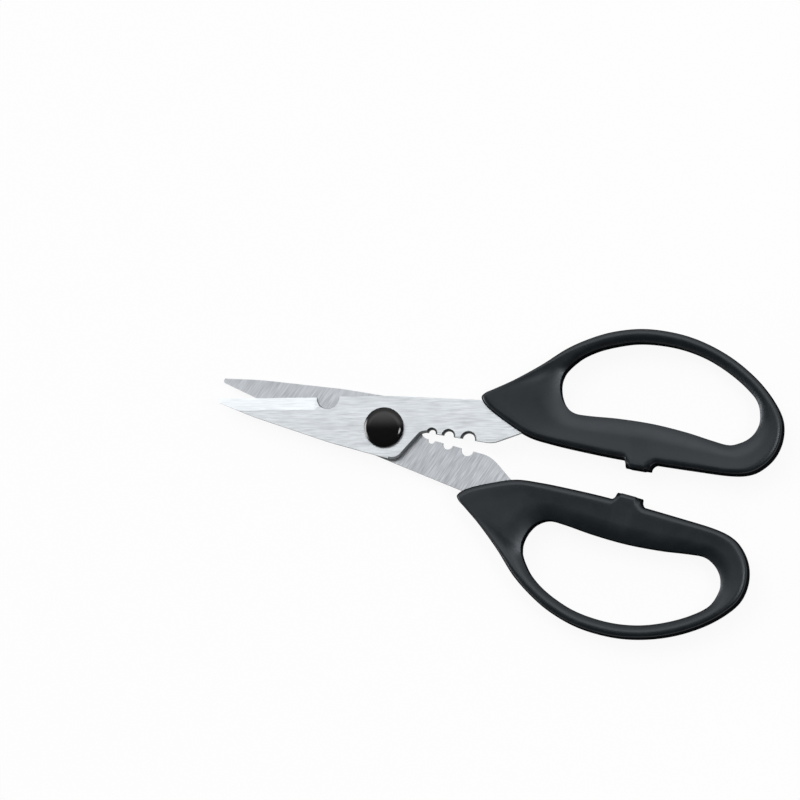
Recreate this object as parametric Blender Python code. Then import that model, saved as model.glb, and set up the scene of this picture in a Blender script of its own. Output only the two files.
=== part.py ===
"""Herb scissors.

Two ground steel blades turn on one pivot, and each has a loop handle moulded round its tang. The
shanks behind the pivot carry pairs of half-round notches, which close into three stripping holes
for herb stems, and the front blade has a larger notch for tough stalks.

Each half is modelled shut, in its own frame: the pivot runs along Z, the middle plane between the
blades is z = 0, the handle lies towards +X and +Y, and the half's own side is +Z. Two empties on
the pivot open the halves to the angle of the photographed pose, and the back half is the front
half turned over about X.
"""

import math

import bmesh
import bpy
from mathutils import Vector

MM = 0.001

# Pose and gaps
HALF_OPENING = math.radians(2.86)
CLOSED_GAP = 0.3 * MM
CLEARANCE = 0.3 * MM
SLIP = 0.2 * MM
OVERRUN = 1.0 * MM

# Blades, in side view
BLADE_THICKNESS = 2.8 * MM
BLADE_GAP = 0.3 * MM
BLADE_REACH = 62.3 * MM
TIP_WIDTH = 1.5 * MM
TIP_RADIUS = 0.6 * MM
TIP_DROP = 1.5 * MM
SPINE_DEPTH = 11.2 * MM
SPINE_RADIUS = 90.0 * MM
HEEL_X = 6.2 * MM
HEEL_RADIUS = 4.0 * MM
SHOULDER_X = 13.7 * MM
SHOULDER_RADIUS = 3.5 * MM
LAND_HEIGHT = 0.25 * MM
KNEE_RADIUS = 10.0 * MM
BACK_HEIGHT = 11.1 * MM
BACK_RADIUS = 100.0 * MM
SHANK_WIDTH = 15.0 * MM
EDGE_CHAMFER = 0.5 * MM
# Both blades lie a little to the front handle's side of the pivot
BLADE_SET = 0.65 * MM

# Spine points, as shares of the blade's reach and of its depth at the pivot
SPINE_SHARES = ((-0.787, -0.4), (-0.305, -0.82))
HEEL_DEPTH_SHARE = -1.05
# Where the knee of the shank lies between the shoulder and the handle's nose
KNEE_SHARE = 1.4

# Ground bevel on each blade's outer face
BEVEL_WIDTH = 4.7 * MM
EDGE_THICKNESS = 0.5 * MM
BEVEL_END_X = 28.3 * MM
BEVEL_RUNOUT = 1.8 * MM

# Half-round notch for stalks, in the front blade only
STALK_NOTCH_X = 22.65 * MM
STALK_NOTCH_RADIUS = 4.3 * MM
STALK_NOTCH_DROP = 0.1 * MM
STALK_NOTCH_CHAMFER = 0.15 * MM

# Stripping notches: places as shares of the way from the shoulder to the handle's nose, and radii
# as shares of the widest one's
STRIP_NOTCH_RADIUS = 2.3 * MM
STRIP_NOTCH_SHARES = ((0.207, 0.587), (0.537, 0.804), (0.926, 1.0))

# Handles
NOSE_X = 32.5 * MM
HANDLE_LENGTH = 110.55 * MM
HANDLE_RISE = 51.55 * MM
NOSE_LENGTH = 27.55 * MM
# The front handle is moulded a little further along its blade's tang
FRONT_SETBACK = 0.64 * MM
END_WALL = 9.15 * MM
ARC_WALL = 5.0 * MM
GRIP_DEPTH = 14.3 * MM
EDGE_ROUND = 1.9 * MM
ROLL_WIDTH = 10.0 * MM
ROLL_SHARE = 0.55
EDGE_ROUND_SHARE = 0.38
STATIONS = 76
ROLL_STEPS = 6
EDGE_STEPS = 5
CURVE_STEPS = 30
TURN_REACH = 3.0 * MM

# Matching points of the handle's outline and of its finger hole. The first two numbers are shares
# of the handle's length and rise, the last two are shares of the hole's own box.
LOOP_SHARES = (
    (0.000, 0.317, 0.000, 0.396),
    (0.008, 0.355, 0.001, 0.427),
    (0.032, 0.389, 0.002, 0.458),
    (0.095, 0.480, 0.013, 0.520),
    (0.175, 0.617, 0.039, 0.607),
    (0.247, 0.759, 0.083, 0.715),
    (0.316, 0.857, 0.147, 0.814),
    (0.389, 0.933, 0.228, 0.897),
    (0.475, 0.985, 0.332, 0.971),
    (0.558, 1.000, 0.446, 1.000),
    (0.647, 0.986, 0.565, 0.989),
    (0.736, 0.937, 0.684, 0.930),
    (0.819, 0.859, 0.798, 0.821),
    (0.896, 0.751, 0.901, 0.678),
    (0.956, 0.628, 0.974, 0.523),
    (0.991, 0.512, 1.000, 0.343),
    (1.000, 0.384, 0.992, 0.213),
    (0.987, 0.263, 0.965, 0.114),
    (0.956, 0.166, 0.923, 0.043),
    (0.913, 0.101, 0.870, 0.000),
    (0.846, 0.071, 0.785, 0.019),
    (0.719, 0.062, 0.656, 0.063),
    (0.592, 0.058, 0.487, 0.094),
    (0.466, 0.058, 0.318, 0.090),
    (0.348, 0.068, 0.169, 0.066),
    (0.253, 0.082, 0.094, 0.071),
    (0.172, 0.107, 0.043, 0.142),
    (0.095, 0.177, 0.016, 0.235),
    (0.028, 0.255, 0.003, 0.328),
)

# Closing stop under the grip, behind the handle's nose
STOP_REACH = 61.4 * MM
STOP_LENGTH = 9.6 * MM
STOP_FLANK = 1.6 * MM

# Tang, moulded into the nose and the grip. It narrows ahead of the finger hole and ends behind the
# hole's front, with a cover of plastic between it and the hole.
TANG_SETBACK = 8.05 * MM
TANG_REACH = 24.0 * MM
TANG_WIDTH = 5.6 * MM
TANG_COVER = 1.1 * MM
TANG_RADIUS = 2.0 * MM
# Moulded pegs through the tang: one behind the nose's tip, and two ahead of the tang's end
NOSE_PEG_REACH = 15.0 * MM
NOSE_PEG_RADIUS = 1.9 * MM
TANG_PEG_INSET = 7.5 * MM
TANG_PEG_PITCH = 15.0 * MM
TANG_PEG_RADIUS = 1.4 * MM

# Pivot: a screw and a sleeve nut with heads of one size, two washers and two caps
SCREW_RADIUS = 1.6 * MM
SLEEVE_WALL = 1.1 * MM
HEAD_RADIUS = 5.2 * MM
HEAD_THICKNESS = 1.45 * MM
HEAD_ROOM = 0.25 * MM
SOCKET_RADIUS = 2.0 * MM
SOCKET_DEPTH = 0.8 * MM
SOCKET_SIDES = 6
FRICTION_WASHER_RADIUS = 6.0 * MM
FRICTION_WASHER_THICKNESS = 0.5 * MM
SPRING_WASHER_THICKNESS = 0.3 * MM
SPRING_WASHER_CONE = 0.2 * MM
CAP_SKIRT = 1.8 * MM
CAP_WALL = 0.65 * MM
CAP_EDGE_WIDTH = 1.1 * MM
CAP_EDGE_DROP = 1.3 * MM

ROUND_SEGMENTS = 48
SMALL_SEGMENTS = 32
PEG_SEGMENTS = 20
ARC_STEP = math.radians(12)
LEAST_TURN = math.radians(0.5)
SMOOTH_ANGLE = math.radians(35)
MITRE_LIMIT = 0.3

# Radii and heights that follow. The caps are flush with the handles, so the stack at the pivot
# sets the handles' thickness.
BORE_RADIUS = SCREW_RADIUS + CLEARANCE
SLEEVE_RADIUS = BORE_RADIUS + SLEEVE_WALL
CAP_HOLLOW_RADIUS = HEAD_RADIUS + CLEARANCE
CAP_RADIUS = CAP_HOLLOW_RADIUS + CAP_SKIRT
INNER_FACE = BLADE_GAP / 2
OUTER_FACE = INNER_FACE + BLADE_THICKNESS
HEAD_TOP = OUTER_FACE + SLIP + HEAD_THICKNESS
CAP_CEILING = HEAD_TOP + HEAD_ROOM
MID_HEIGHT = CAP_CEILING + CAP_WALL

# Places along and above the grip that follow
HOLE_X = NOSE_X + NOSE_LENGTH
TANG_ROOT_X = HOLE_X - TANG_SETBACK
TANG_END_X = HOLE_X + TANG_REACH
TANG_HEIGHT = GRIP_DEPTH - TANG_COVER - TANG_WIDTH / 2
PEGS = (
    (NOSE_X + NOSE_PEG_REACH, NOSE_PEG_RADIUS),
    (TANG_END_X - TANG_PEG_INSET - TANG_PEG_PITCH, TANG_PEG_RADIUS),
    (TANG_END_X - TANG_PEG_INSET, TANG_PEG_RADIUS),
)


def clear_scene():
    for item in list(bpy.data.objects):
        bpy.data.objects.remove(item, do_unlink=True)


def material(name, colour, roughness, metallic, coat=0.0):
    made = bpy.data.materials.new(name)
    made.use_nodes = True
    shader = made.node_tree.nodes["Principled BSDF"]
    shader.inputs["Base Color"].default_value = (*colour, 1.0)
    shader.inputs["Roughness"].default_value = roughness
    shader.inputs["Metallic"].default_value = metallic
    shader.inputs["Coat Weight"].default_value = coat
    return made


def blade_steel():
    return material("blade_steel", (0.66, 0.67, 0.68), 0.3, 1.0)


def pivot_steel():
    return material("pivot_steel", (0.55, 0.56, 0.57), 0.25, 1.0)


def handle_plastic():
    return material("handle_plastic", (0.03, 0.033, 0.035), 0.45, 0.0)


def cap_plastic():
    return material("cap_plastic", (0.006, 0.006, 0.007), 0.12, 0.0, coat=0.5)


def washer_plastic():
    return material("washer_plastic", (0.75, 0.74, 0.7), 0.4, 0.0)


def add_object(name, mesh, parent, finish):
    made = bpy.data.objects.new(name, mesh)
    bpy.context.scene.collection.objects.link(made)
    made.parent = parent
    if finish is not None and not mesh.materials:
        mesh.materials.append(finish)
    return made


def add_empty(name, rotation):
    made = bpy.data.objects.new(name, None)
    bpy.context.scene.collection.objects.link(made)
    made.empty_display_size = CAP_RADIUS
    made.location = (0, 0, MID_HEIGHT)
    made.rotation_euler = rotation
    return made


def mesh_from(name, vertices, faces, smooth=True):
    work = bmesh.new()
    points = [work.verts.new(vertex) for vertex in vertices]
    for face in faces:
        work.faces.new([points[index] for index in face])
    bmesh.ops.recalc_face_normals(work, faces=work.faces)
    mesh = bpy.data.meshes.new(name)
    work.to_mesh(mesh)
    work.free()
    if smooth:
        mesh.shade_smooth()
        mesh.set_sharp_from_angle(angle=SMOOTH_ANGLE)
    return mesh


def cut(body, tool_mesh, parent):
    """Subtract a tool from a body, and return the tool's object, which only guides the cut."""
    tool = add_object(tool_mesh.name, tool_mesh, parent, None)
    tool.hide_render = True
    tool.display_type = "WIRE"
    boolean = body.modifiers.new(tool.name, "BOOLEAN")
    boolean.operation = "DIFFERENCE"
    boolean.solver = "EXACT"
    boolean.object = tool
    return tool


def turned(name, profile, segments):
    """Solid of revolution about Z. The profile is a closed loop of (radius, height) points."""
    vertices = []
    rings = []
    for radius, height in profile:
        if radius == 0:
            rings.append([len(vertices)] * segments)
            vertices.append((0, 0, height))
            continue
        rings.append(list(range(len(vertices), len(vertices) + segments)))
        for step in range(segments):
            angle = 2 * math.pi * step / segments
            vertices.append((radius * math.cos(angle), radius * math.sin(angle), height))
    faces = []
    for this, after in zip(rings, rings[1:] + rings[:1]):
        for step in range(segments):
            following = (step + 1) % segments
            corners = [this[step], this[following], after[following], after[step]]
            corners = list(dict.fromkeys(corners))
            if len(corners) > 2:
                faces.append(corners)
    return mesh_from(name, vertices, faces)


def moved(mesh, x, y):
    for vertex in mesh.vertices:
        vertex.co.x += x
        vertex.co.y += y
    return mesh


def fillet(before, corner, after, radius):
    """Arc that rounds one corner of an outline, never longer than half of either side."""
    to_before = (before - corner).normalized()
    to_after = (after - corner).normalized()
    turn = math.pi - to_before.angle(to_after)
    if radius == 0 or turn < LEAST_TURN:
        return [corner]
    room = min((before - corner).length, (after - corner).length) / 2
    tangent = min(radius * math.tan(turn / 2), room)
    radius = tangent / math.tan(turn / 2)
    centre = corner + (to_before + to_after).normalized() * (radius / math.cos(turn / 2))
    start = corner + to_before * tangent - centre
    side = 1 if start.x * to_before.y - start.y * to_before.x < 0 else -1
    steps = max(3, math.ceil(turn / ARC_STEP))
    arc = []
    for step in range(steps + 1):
        angle = side * turn * step / steps
        cosine, sine = math.cos(angle), math.sin(angle)
        turned_start = Vector((cosine * start.x - sine * start.y, sine * start.x + cosine * start.y))
        arc.append(centre + turned_start)
    return arc


def rounded_outline(corners):
    """Corners are (x, y, radius, chamfered). Returns the points and whether each is chamfered."""
    points = []
    chamfered = []
    for index, (x, y, radius, flag) in enumerate(corners):
        before = Vector(corners[index - 1][:2])
        after = Vector(corners[(index + 1) % len(corners)][:2])
        arc = fillet(before, Vector((x, y)), after, radius)
        points.extend(arc)
        chamfered.extend([flag] * len(arc))
    return points, chamfered


def inward(points, index):
    """Unit normal into a counter-clockwise outline at one of its points, mitred."""
    before = (points[index] - points[index - 1]).normalized()
    after = (points[(index + 1) % len(points)] - points[index]).normalized()
    normal = Vector((-before.y - after.y, before.x + after.x)).normalized()
    mitre = max(MITRE_LIMIT, normal.dot(Vector((-after.y, after.x))))
    return normal / mitre


def plate(name, points, low, high, chamfered=None, chamfer=0.0):
    """Flat plate with a counter-clockwise outline, and a chamfer round the marked part on top."""
    count = len(points)
    flags = chamfered or [False] * count
    top = []
    for index, point in enumerate(points):
        shift = inward(points, index) * chamfer if flags[index] else Vector((0, 0))
        top.append(point + shift)
    levels = [(points, low), (points, high - chamfer), (top, high)]
    if chamfer == 0:
        levels = [(points, low), (points, high)]
    vertices = [(x, y, height) for outline, height in levels for x, y in outline]
    faces = [list(range(count))[::-1], list(range(count * (len(levels) - 1), count * len(levels)))]
    for level in range(len(levels) - 1):
        for index in range(count):
            following = (index + 1) % count
            base = level * count
            faces.append([base + index, base + following, base + count + following, base + count + index])
    return mesh_from(name, vertices, faces)


def blade_corners(rise):
    """Blade outline, counter-clockwise from the tip, along the spine to the tang and back."""
    corners = [(-BLADE_REACH, rise - TIP_DROP, TIP_RADIUS, False)]
    for x_share, y_share in SPINE_SHARES:
        corners.append((x_share * BLADE_REACH, rise + y_share * SPINE_DEPTH, SPINE_RADIUS, False))
    tang_low = TANG_HEIGHT - TANG_WIDTH / 2
    tang_high = TANG_HEIGHT + TANG_WIDTH / 2
    knee_x = SHOULDER_X + KNEE_SHARE * (NOSE_X - SHOULDER_X)
    corners += [
        (HEEL_X, rise + HEEL_DEPTH_SHARE * SPINE_DEPTH, HEEL_RADIUS, True),
        (SHOULDER_X, rise + LAND_HEIGHT, SHOULDER_RADIUS, True),
        (knee_x, rise + LAND_HEIGHT, KNEE_RADIUS, False),
        (TANG_ROOT_X, tang_low, TANG_RADIUS, False),
        (TANG_END_X, tang_low, TANG_RADIUS, False),
        (TANG_END_X, tang_high, TANG_RADIUS, False),
        (TANG_ROOT_X, SHANK_WIDTH, TANG_RADIUS, False),
        (NOSE_X, rise + SHANK_WIDTH, KNEE_RADIUS, False),
        (0, rise + BACK_HEIGHT, BACK_RADIUS, False),
        (-BLADE_REACH, cutting_edge(-BLADE_REACH, rise), TIP_RADIUS, False),
    ]
    return corners


def cutting_edge(x, rise):
    """Height of the straight cutting edge, from beside the pivot down to the tip."""
    tip_height = TIP_WIDTH - TIP_DROP
    return rise + BACK_HEIGHT + (BACK_HEIGHT - tip_height) * x / BLADE_REACH


def notch_tool(name, x, y, radius, chamfer):
    """Cylinder that flares through the outer face, so that the notch has a chamfered rim."""
    profile = [
        (0, -OVERRUN),
        (radius, -OVERRUN),
        (radius, OUTER_FACE - chamfer),
        (radius + chamfer + OVERRUN, OUTER_FACE + OVERRUN),
        (0, OUTER_FACE + OVERRUN),
    ]
    return moved(turned(name, profile, SMALL_SEGMENTS), x, y)


def bevel_tool(name, rise):
    """Wedge that grinds the outer face down to the cutting edge, and lifts out at its end."""
    tip = Vector((-BLADE_REACH, cutting_edge(-BLADE_REACH, rise)))
    end = Vector((-BEVEL_END_X, cutting_edge(-BEVEL_END_X, rise)))
    along = (end - tip).normalized()
    inner = Vector((along.y, -along.x))
    slope = (BLADE_THICKNESS - EDGE_THICKNESS) / BEVEL_WIDTH
    over = OVERRUN
    section = [
        (BEVEL_WIDTH + over, OUTER_FACE + slope * over),
        (-over, INNER_FACE + EDGE_THICKNESS - slope * over),
        (-over, OUTER_FACE + slope * over),
    ]
    stations = [
        (tip - along * BEVEL_WIDTH, 0.0),
        (end, 0.0),
        (end + along * BEVEL_RUNOUT, BLADE_THICKNESS),
    ]
    vertices = []
    for place, lift in stations:
        for across, height in section:
            point = place + inner * across
            vertices.append((point.x, point.y, height + lift))
    sides = len(section)
    last = len(vertices) - sides
    faces = [list(range(sides))[::-1], list(range(last, last + sides))]
    for base in range(0, last, sides):
        for corner in range(sides):
            following = (corner + 1) % sides
            faces.append([
                base + corner,
                base + following,
                base + sides + following,
                base + sides + corner,
            ])
    return mesh_from(name, vertices, faces, smooth=False)


def pivot_tool(name):
    """Hole for the sleeve, with a seat for half of the friction washer in the inner face."""
    hole = SLEEVE_RADIUS + CLEARANCE
    seat = FRICTION_WASHER_RADIUS + CLEARANCE
    seat_height = FRICTION_WASHER_THICKNESS / 2 + SLIP
    profile = [
        (0, -OVERRUN),
        (seat, -OVERRUN),
        (seat, seat_height),
        (hole, seat_height),
        (hole, OUTER_FACE + OVERRUN),
        (0, OUTER_FACE + OVERRUN),
    ]
    return turned(name, profile, ROUND_SEGMENTS)


def peg_tool(name, x, radius):
    profile = [
        (0, -OVERRUN),
        (radius, -OVERRUN),
        (radius, OUTER_FACE + OVERRUN),
        (0, OUTER_FACE + OVERRUN),
    ]
    return moved(turned(name, profile, PEG_SEGMENTS), x, TANG_HEIGHT)


def add_blade(name, half, steel, rise, stalk_notch):
    """Ground blade with its shank and tang; rise sets it beside the pivot's centre line."""
    points, chamfered = rounded_outline(blade_corners(rise))
    mesh = plate(name, points, INNER_FACE, OUTER_FACE, chamfered, EDGE_CHAMFER)
    blade = add_object(name, mesh, half, steel)
    cut(blade, pivot_tool(f"{name}_pivot_hole"), half)
    cut(blade, bevel_tool(f"{name}_bevel", rise), half)
    for index, (x_share, radius_share) in enumerate(STRIP_NOTCH_SHARES, start=1):
        x = SHOULDER_X + x_share * (NOSE_X - SHOULDER_X)
        radius = radius_share * STRIP_NOTCH_RADIUS
        y = rise + LAND_HEIGHT
        tool = notch_tool(f"{name}_strip_notch_{index}", x, y, radius, EDGE_CHAMFER)
        cut(blade, tool, half)
    for index, (x, radius) in enumerate(PEGS, start=1):
        cut(blade, peg_tool(f"{name}_peg_hole_{index}", x, radius + CLEARANCE), half)
    if stalk_notch:
        x = -STALK_NOTCH_X
        y = cutting_edge(x, rise) - STALK_NOTCH_DROP
        tool = notch_tool(f"{name}_stalk_notch", x, y, STALK_NOTCH_RADIUS, STALK_NOTCH_CHAMFER)
        cut(blade, tool, half)


def smooth_step(value):
    value = min(max(value, 0.0), 1.0)
    return value * value * (3 - 2 * value)


def spline_point(points, span, share):
    """Point on a closed Catmull-Rom curve."""
    count = len(points)
    a, b, c, d = (points[(span + offset) % count] for offset in (-1, 0, 1, 2))
    return (
        b
        + (c - a) * (share / 2)
        + (2 * a - 5 * b + 4 * c - d) * (share ** 2 / 2)
        + (3 * b - a - 3 * c + d) * (share ** 3 / 2)
    )


def stop_drop(point, grip_line):
    """How far the closing stop takes the outline down below the grip."""
    if point.y > grip_line:
        return 0.0
    middle = NOSE_X + STOP_REACH
    before = smooth_step((point.x - middle + STOP_LENGTH / 2) / STOP_FLANK + 0.5)
    after = smooth_step((middle + STOP_LENGTH / 2 - point.x) / STOP_FLANK + 0.5)
    return min(before, after) * (point.y - CLOSED_GAP / 2)


def handle_curves():
    """Dense matching points: the plain outline, the outline with its stop, and the finger hole."""
    hole_length = HANDLE_LENGTH - NOSE_LENGTH - END_WALL
    hole_rise = HANDLE_RISE - GRIP_DEPTH - ARC_WALL
    outer = []
    inner = []
    for x_share, y_share, hole_x_share, hole_y_share in LOOP_SHARES:
        outer.append(Vector((NOSE_X + x_share * HANDLE_LENGTH, y_share * HANDLE_RISE)))
        inner.append(Vector((HOLE_X + hole_x_share * hole_length, GRIP_DEPTH + hole_y_share * hole_rise)))
    plain = []
    stopped = []
    hole = []
    for span in range(len(outer)):
        for step in range(CURVE_STEPS):
            share = step / CURVE_STEPS
            point = spline_point(outer, span, share)
            plain.append(point)
            stopped.append(point - Vector((0, stop_drop(point, GRIP_DEPTH / 2))))
            hole.append(spline_point(inner, span, share))
    return plain, stopped, hole


def spread_stations(outline, count):
    """Indices along an outline, closer together where it turns."""
    total = 0.0
    reach = [0.0]
    for index, point in enumerate(outline):
        following = outline[(index + 1) % len(outline)]
        beyond = outline[(index + 2) % len(outline)]
        step = following - point
        turn = step.angle(beyond - following, 0.0)
        total += step.length + TURN_REACH * turn
        reach.append(total)
    picked = []
    index = 0
    for station in range(count):
        while reach[index] < total * station / count:
            index += 1
        picked.append(index)
    return picked


def handle_section(width, full_width):
    """Ring section from the finger hole outwards, as (distance, height) points, then back below.

    A wide quarter ellipse rolls into the finger hole, and a narrow one rounds the outer edge.
    """
    roll = min(ROLL_WIDTH, ROLL_SHARE * width)
    edge = min(EDGE_ROUND, EDGE_ROUND_SHARE * width)
    upper = []
    for step in range(ROLL_STEPS + 1):
        angle = math.pi / 2 * step / ROLL_STEPS
        upper.append((roll * (1 - math.cos(angle)), MID_HEIGHT * math.sin(angle)))
    for step in range(EDGE_STEPS + 1):
        angle = math.pi / 2 * (1 - step / EDGE_STEPS)
        upper.append((full_width - edge * (1 - math.cos(angle)), MID_HEIGHT * math.sin(angle)))
    lower = [(distance, -height) for distance, height in upper[-2:0:-1]]
    return upper + lower


def handle_mesh(name):
    plain, stopped, hole = handle_curves()
    stations = spread_stations(stopped, STATIONS)
    vertices = []
    for index in stations:
        full_width = (stopped[index] - hole[index]).length
        direction = (stopped[index] - hole[index]) / full_width
        width = (plain[index] - hole[index]).length
        for distance, height in handle_section(width, full_width):
            place = hole[index] + direction * distance
            vertices.append((place.x, place.y, height))
    ring = len(vertices) // STATIONS
    faces = []
    for station in range(STATIONS):
        here = station * ring
        there = (station + 1) % STATIONS * ring
        for corner in range(ring):
            following = (corner + 1) % ring
            faces.append([here + corner, here + following, there + following, there + corner])
    return mesh_from(name, vertices, faces)


def pocket_mesh(name, rise):
    """The blade's outline with clearance all round."""
    points, _ = rounded_outline(blade_corners(rise))
    grown = [point - inward(points, index) * CLEARANCE for index, point in enumerate(points)]
    return plate(name, grown, INNER_FACE - CLEARANCE, OUTER_FACE + CLEARANCE)


def add_handle(name, half, mesh, plastic, rise, setback):
    """Loop handle with a pocket for the tang, in which moulded pegs stay standing."""
    handle = add_object(name, mesh, half, plastic)
    handle.location.x = setback
    pocket = cut(handle, pocket_mesh(f"{name}_pocket", rise), half)
    for index, (x, radius) in enumerate(PEGS, start=1):
        cut(pocket, peg_tool(f"{name}_peg_{index}", x, radius), half)


def cap_mesh(name):
    """Shallow cap with a hollow for a head, and a plug that reaches into its bore or socket."""
    bottom = OUTER_FACE + SLIP
    plug_end = HEAD_TOP - SOCKET_DEPTH + SLIP
    plug_radius = min(BORE_RADIUS, SOCKET_RADIUS * math.cos(math.pi / SOCKET_SIDES)) - CLEARANCE
    profile = [
        (0, MID_HEIGHT),
        (0, plug_end),
        (plug_radius, plug_end),
        (plug_radius, CAP_CEILING),
        (CAP_HOLLOW_RADIUS, CAP_CEILING),
        (CAP_HOLLOW_RADIUS, bottom),
        (CAP_RADIUS, bottom),
    ]
    for step in range(EDGE_STEPS + 1):
        angle = math.pi / 2 * step / EDGE_STEPS
        radius = CAP_RADIUS - CAP_EDGE_WIDTH * (1 - math.cos(angle))
        profile.append((radius, MID_HEIGHT - CAP_EDGE_DROP * (1 - math.sin(angle))))
    return turned(name, profile, ROUND_SEGMENTS)


def nut_mesh(name):
    """Sleeve nut: its head presses the spring washer and its sleeve runs through both blades."""
    underside = OUTER_FACE + SPRING_WASHER_THICKNESS + SPRING_WASHER_CONE + 2 * SLIP
    profile = [
        (BORE_RADIUS, -OUTER_FACE + CLEARANCE),
        (SLEEVE_RADIUS, -OUTER_FACE + CLEARANCE),
        (SLEEVE_RADIUS, underside),
        (HEAD_RADIUS, underside),
        (HEAD_RADIUS, HEAD_TOP),
        (BORE_RADIUS, HEAD_TOP),
    ]
    return turned(name, profile, SMALL_SEGMENTS)


def screw_mesh(name):
    """Flat-headed screw, seen from its head, with the shank reaching up into the sleeve."""
    face = OUTER_FACE + SLIP
    profile = [
        (0, HEAD_TOP),
        (0, -OUTER_FACE),
        (SCREW_RADIUS, -OUTER_FACE),
        (SCREW_RADIUS, face),
        (HEAD_RADIUS, face),
        (HEAD_RADIUS, HEAD_TOP),
    ]
    return turned(name, profile, SMALL_SEGMENTS)


def socket_tool(name):
    profile = [
        (0, HEAD_TOP - SOCKET_DEPTH),
        (SOCKET_RADIUS, HEAD_TOP - SOCKET_DEPTH),
        (SOCKET_RADIUS, HEAD_TOP + OVERRUN),
        (0, HEAD_TOP + OVERRUN),
    ]
    return turned(name, profile, SOCKET_SIDES)


def friction_washer_mesh(name):
    low, high = -FRICTION_WASHER_THICKNESS / 2, FRICTION_WASHER_THICKNESS / 2
    inner = SLEEVE_RADIUS + CLEARANCE
    outer = FRICTION_WASHER_RADIUS
    return turned(name, [(inner, low), (outer, low), (outer, high), (inner, high)], SMALL_SEGMENTS)


def spring_washer_mesh(name):
    """Conical spring washer, resting on its outer rim and pressed by the nut at its bore."""
    low = OUTER_FACE + SLIP
    high = low + SPRING_WASHER_THICKNESS
    inner = SLEEVE_RADIUS + CLEARANCE
    outer = HEAD_RADIUS - SLIP
    profile = [
        (inner, low + SPRING_WASHER_CONE),
        (outer, low),
        (outer, high),
        (inner, high + SPRING_WASHER_CONE),
    ]
    return turned(name, profile, SMALL_SEGMENTS)


def add_pivot(front, back):
    steel = pivot_steel()
    gloss = cap_plastic()
    add_object("pivot_nut", nut_mesh("pivot_nut"), front, steel)
    add_object("spring_washer", spring_washer_mesh("spring_washer"), front, steel)
    screw = add_object("pivot_screw", screw_mesh("pivot_screw"), back, steel)
    cut(screw, socket_tool("pivot_screw_socket"), back)
    add_object("friction_washer", friction_washer_mesh("friction_washer"), back, washer_plastic())
    cap = cap_mesh("pivot_cap")
    add_object("front_cap", cap, front, gloss)
    add_object("rear_cap", cap, back, gloss)


def build():
    clear_scene()
    front = add_empty("front_half", (0, 0, HALF_OPENING))
    back = add_empty("back_half", (math.pi, 0, -HALF_OPENING))
    steel = blade_steel()
    plastic = handle_plastic()
    add_blade("front_blade", front, steel, BLADE_SET, stalk_notch=True)
    add_blade("back_blade", back, steel, -BLADE_SET, stalk_notch=False)
    loop = handle_mesh("loop_handle")
    add_handle("front_handle", front, loop, plastic, BLADE_SET, FRONT_SETBACK)
    add_handle("back_handle", back, loop, plastic, -BLADE_SET, 0)
    add_pivot(front, back)


build()
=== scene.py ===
"""Herb scissors: the detailed model, its finishes and its stage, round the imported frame.

Each half is modelled shut, as in the frame: the pivot runs along Z, the middle plane between the
blades is z = 0, the handle lies towards +X and +Y, and the half's own side is +Z. half_matrix()
then sets it open at the pivot, and turns the back half over.
"""

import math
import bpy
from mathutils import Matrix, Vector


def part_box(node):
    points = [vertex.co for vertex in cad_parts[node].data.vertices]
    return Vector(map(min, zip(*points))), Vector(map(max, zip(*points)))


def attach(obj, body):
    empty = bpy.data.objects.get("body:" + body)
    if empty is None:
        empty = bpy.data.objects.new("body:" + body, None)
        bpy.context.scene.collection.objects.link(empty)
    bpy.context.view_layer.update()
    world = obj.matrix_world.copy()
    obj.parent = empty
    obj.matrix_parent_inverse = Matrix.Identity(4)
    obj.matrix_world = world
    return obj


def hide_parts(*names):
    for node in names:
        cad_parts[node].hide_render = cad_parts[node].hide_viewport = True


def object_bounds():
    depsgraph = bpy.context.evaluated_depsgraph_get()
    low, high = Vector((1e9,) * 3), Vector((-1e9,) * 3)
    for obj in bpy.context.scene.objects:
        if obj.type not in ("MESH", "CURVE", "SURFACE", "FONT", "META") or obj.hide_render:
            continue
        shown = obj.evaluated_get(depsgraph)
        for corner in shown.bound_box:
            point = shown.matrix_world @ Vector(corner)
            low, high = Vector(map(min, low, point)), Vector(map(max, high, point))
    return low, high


bl_info = {
    "name": "Herb Scissors",
    "version": (1, 0, 0),
    "blender": (4, 5, 0),
    "location": "View3D > Sidebar > Herb Scissors",
    "description": "Builds a pair of herb scissors on a stage",
    "category": "Add Mesh",
}

import bmesh
import bpy
from bpy.props import FloatProperty, FloatVectorProperty, PointerProperty
from bpy.types import Operator, Panel, PropertyGroup
from mathutils import Matrix, Vector

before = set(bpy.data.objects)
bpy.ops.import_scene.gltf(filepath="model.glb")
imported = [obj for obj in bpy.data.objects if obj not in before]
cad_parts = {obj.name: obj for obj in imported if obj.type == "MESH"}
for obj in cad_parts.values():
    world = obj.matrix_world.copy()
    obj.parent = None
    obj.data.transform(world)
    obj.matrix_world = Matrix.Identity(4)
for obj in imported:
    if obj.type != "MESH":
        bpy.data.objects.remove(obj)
CAD_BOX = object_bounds()

MM = 0.001

# Pose, from the frame: the handles lie flat, so the middle plane is at half their thickness
HALF_OPENING = math.radians(2.86)
CLOSED_GAP = 0.3 * MM
MID_HEIGHT = CAD_BOX[1].z / 2
CAP_LOW, CAP_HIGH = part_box("front_cap")
BLADE_LOW, BLADE_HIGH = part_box("front_blade")
INNER_FACE = BLADE_LOW.z - MID_HEIGHT
OUTER_FACE = BLADE_HIGH.z - MID_HEIGHT
BLADE_THICKNESS = OUTER_FACE - INNER_FACE

# Spine points, as shares of the blade's reach and of its depth at the pivot
SPINE_SHARES = ((-0.787, -0.4), (-0.305, -0.82))
HEEL_DEPTH_SHARE = -1.05
# Place of the shank's knee, as a share of the way from the shoulder to the handle's nose
KNEE_SHARE = 1.4
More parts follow.
